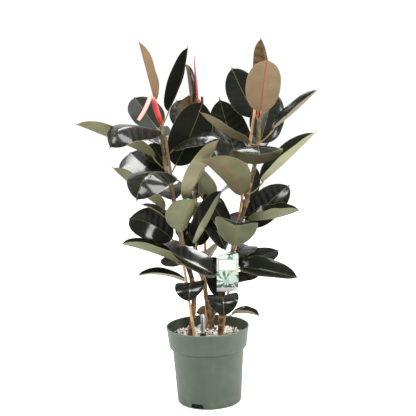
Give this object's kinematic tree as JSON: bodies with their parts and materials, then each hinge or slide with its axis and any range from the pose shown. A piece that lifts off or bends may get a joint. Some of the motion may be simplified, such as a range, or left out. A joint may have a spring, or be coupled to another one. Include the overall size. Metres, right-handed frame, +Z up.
{
  "type": "potted ficus",
  "caption": "Rubber-leaved ficus with staked stems and large glossy leaves, in a round nursery pot with pale granules, a water gauge and a plant tag.",
  "frame": {"origin": "centre of the pot's underside, on the surface that the pot stands on", "axes": "+Z up along the pot's axis, -Y towards the front of the plant, +X to the right seen from the front"},
  "size_m": [0.7658, 0.434, 1.1693],
  "materials": {
    "pot_plastic": "grey-green moulded polypropylene, satin, with a fine moulding grain",
    "compost": "dark fibrous potting compost",
    "granules": "pale cream mineral granules, matt and rough",
    "gauge_tube": "clear to milky plastic tube",
    "gauge_float": "blue level line",
    "gauge_collar": "dark green plastic collar",
    "cane": "split bamboo, pale tan",
    "foliage": "waxy leaves, near-black green above and olive to tan below, on brown and olive bark",
    "sheath": "translucent red leaf sheaths",
    "tag_card": "printed card with a plain leaf pattern",
    "tag_tie": "black tie"
  },
  "bodies": {
    "root": {"pot": "pot_plastic", "compost": "compost", "top_dressing": "granules", "gauge_tube": "gauge_tube", "gauge_float": "gauge_float", "gauge_collar": "gauge_collar", "cane_left": "cane", "cane_middle": "cane", "cane_right": "cane", "leafy_stem_left": "foliage", "leafy_stem_middle": "foliage", "leafy_stem_right": "foliage", "sheath_left": "sheath", "sheath_middle": "sheath", "sheath_right": "sheath", "tag_card": "tag_card", "tag_tie": "tag_tie"}
  },
  "joints": []
}
